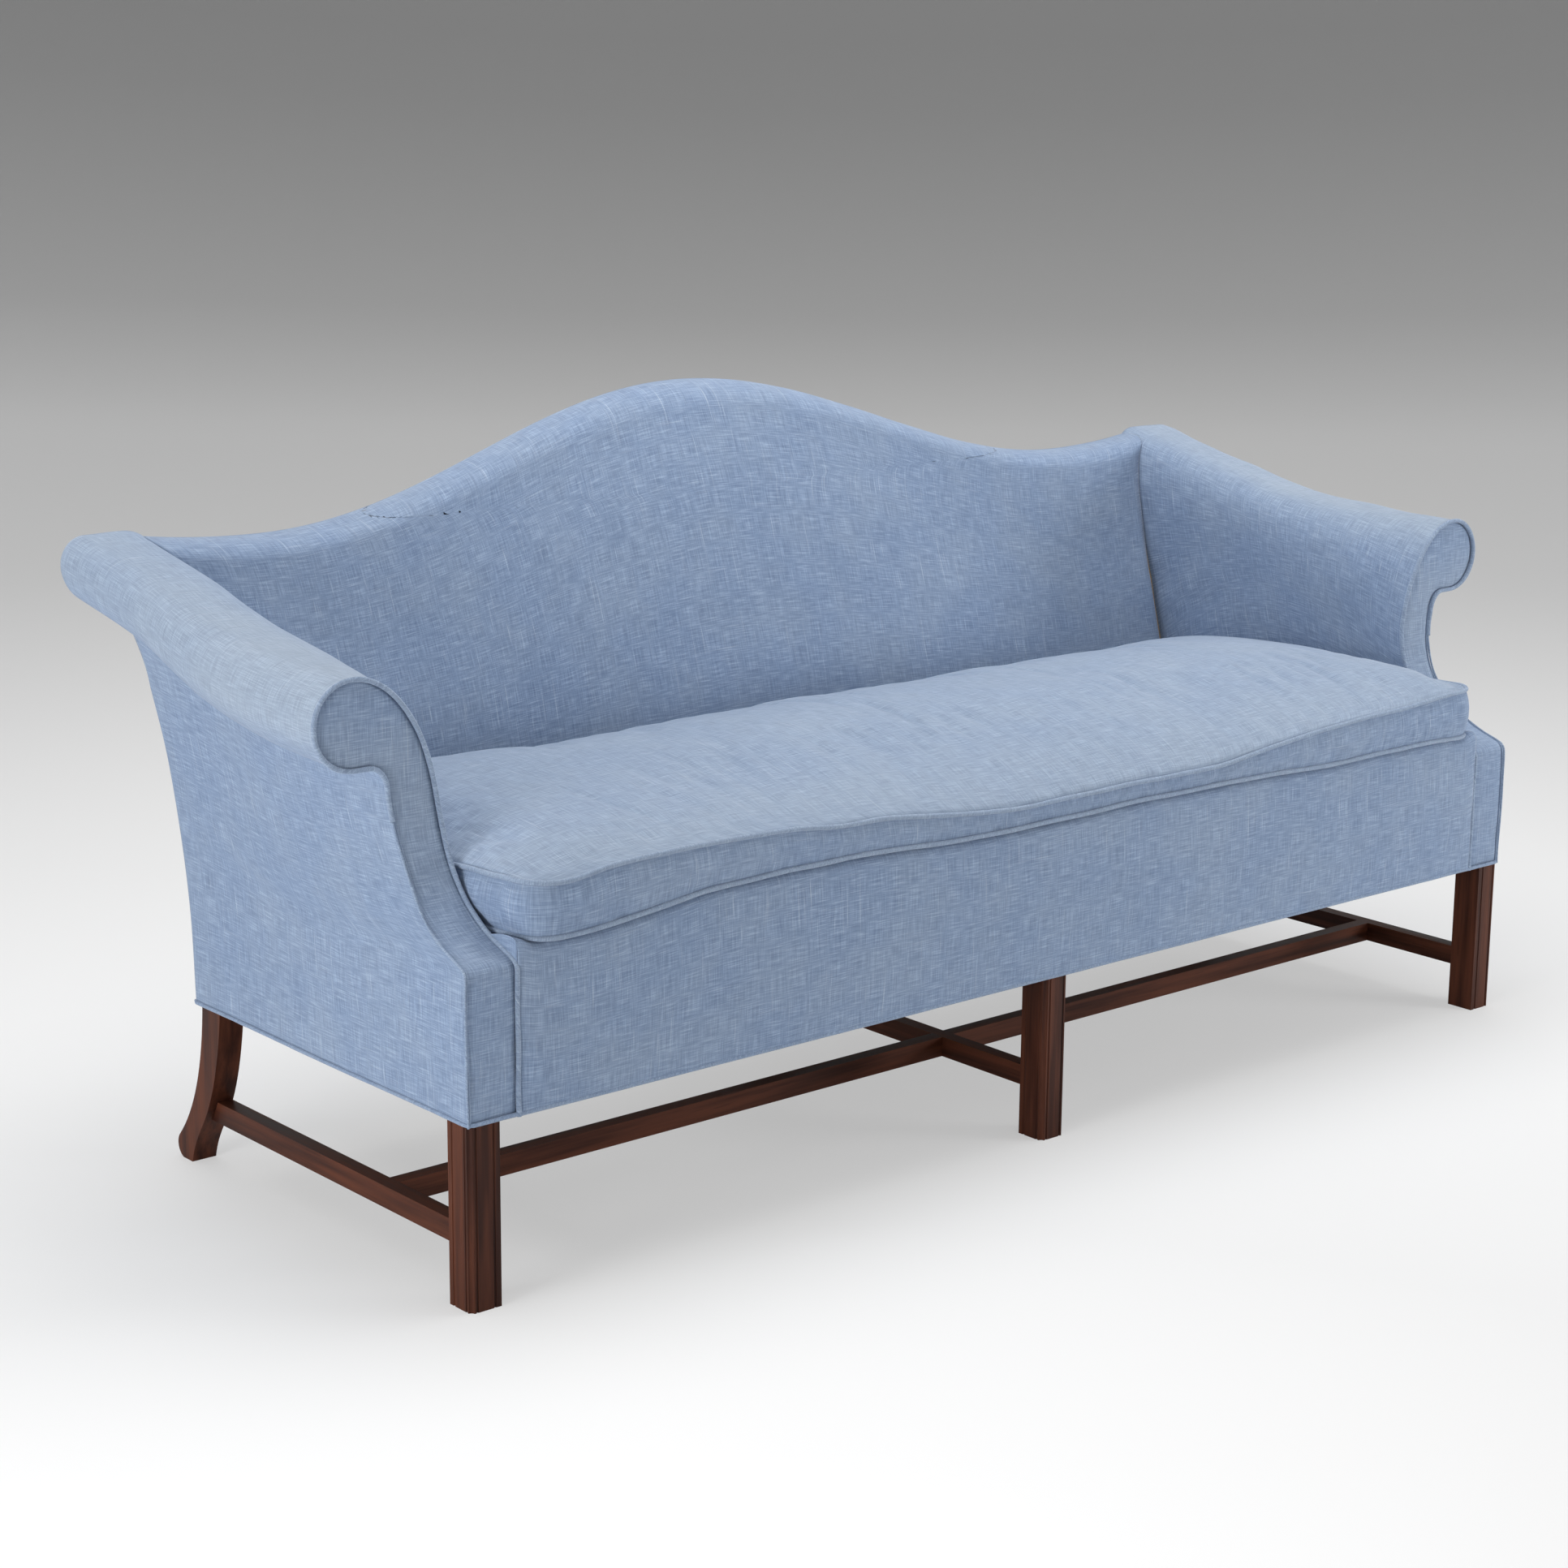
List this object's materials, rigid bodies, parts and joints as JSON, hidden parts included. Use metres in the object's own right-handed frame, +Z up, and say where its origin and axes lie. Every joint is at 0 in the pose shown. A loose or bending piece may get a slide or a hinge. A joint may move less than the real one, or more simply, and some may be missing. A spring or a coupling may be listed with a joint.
{
  "type": "camelback sofa",
  "caption": "Upholstered sofa with a serpentine hump back, scrolled rolled arms, one loose bench cushion with piping, and straight square legs joined by low stretchers.",
  "frame": {"origin": "floor level, at the middle of the footprint's bounding box", "axes": "+X to the sofa's right-hand side as seen from the front, +Y to the back, +Z up"},
  "size_m": [2.098, 0.8222, 0.953],
  "materials": {
    "linen": "matt woven linen",
    "mahogany": "satin polished",
    "frame_wood": "sawn hardwood",
    "steel": "bright wire",
    "jute": "open weave",
    "lining": "matt",
    "stuffing": "matt foam and wadding"
  },
  "bodies": {
    "sofa_frame": {"arm_burlaps": "jute", "arm_facing_left": "linen", "arm_facing_pads": "stuffing", "arm_facing_right": "linen", "arm_post_left": "frame_wood", "arm_post_right": "frame_wood", "arm_top_rails": "frame_wood", "arm_tuck_rails": "frame_wood", "back_burlap": "jute", "back_leg_left": "mahogany", "back_leg_middle": "mahogany", "back_leg_right": "mahogany", "back_rail": "frame_wood", "back_stiles": "frame_wood", "back_tuck_rail": "frame_wood", "back_webbing": "jute", "corner_blocks": "frame_wood", "crest_rail": "frame_wood", "deck_burlap": "jute", "deck_cover": "linen", "deck_pad": "stuffing", "dust_cover": "lining", "facing_welt_left": "linen", "facing_welt_right": "linen", "frame_screws": "steel", "front_border": "linen", "front_border_padding": "stuffing", "front_leg_left": "mahogany", "front_leg_middle": "mahogany", "front_leg_right": "mahogany", "front_rail": "frame_wood", "hem_welt": "linen", "inside_arm_cover_left": "linen", "inside_arm_cover_right": "linen", "inside_arm_pads": "stuffing", "inside_back_cover": "linen", "inside_back_pad": "stuffing", "long_stretcher_left": "mahogany", "long_stretcher_right": "mahogany", "middle_stretcher": "mahogany", "outside_arm_cover_left": "linen", "outside_arm_cover_right": "linen", "outside_arm_linings": "lining", "outside_back_cover": "linen", "outside_back_lining": "lining", "seat_brace": "frame_wood", "seat_springs": "steel", "side_rail_left": "frame_wood", "side_rail_right": "frame_wood", "side_stretcher_left": "mahogany", "side_stretcher_right": "mahogany", "spring_clips": "steel", "spring_tie_wires": "steel"},
    "seat_cushion": {"cushion_core": "stuffing", "cushion_cover": "linen", "cushion_welts": "linen", "cushion_zip": "lining"},
    "zip_slider": {"zip_slider": "steel"}
  },
  "joints": [
    {"name": "cushion_lift", "type": "slide", "parent": "sofa_frame", "child": "seat_cushion", "axis": [0, 0, 1], "range_m": [0, 0.5]},
    {"name": "zip_slide", "type": "slide", "parent": "seat_cushion", "child": "zip_slider", "axis": [1, 0, 0], "range_m": [0, 1.45]}
  ]
}
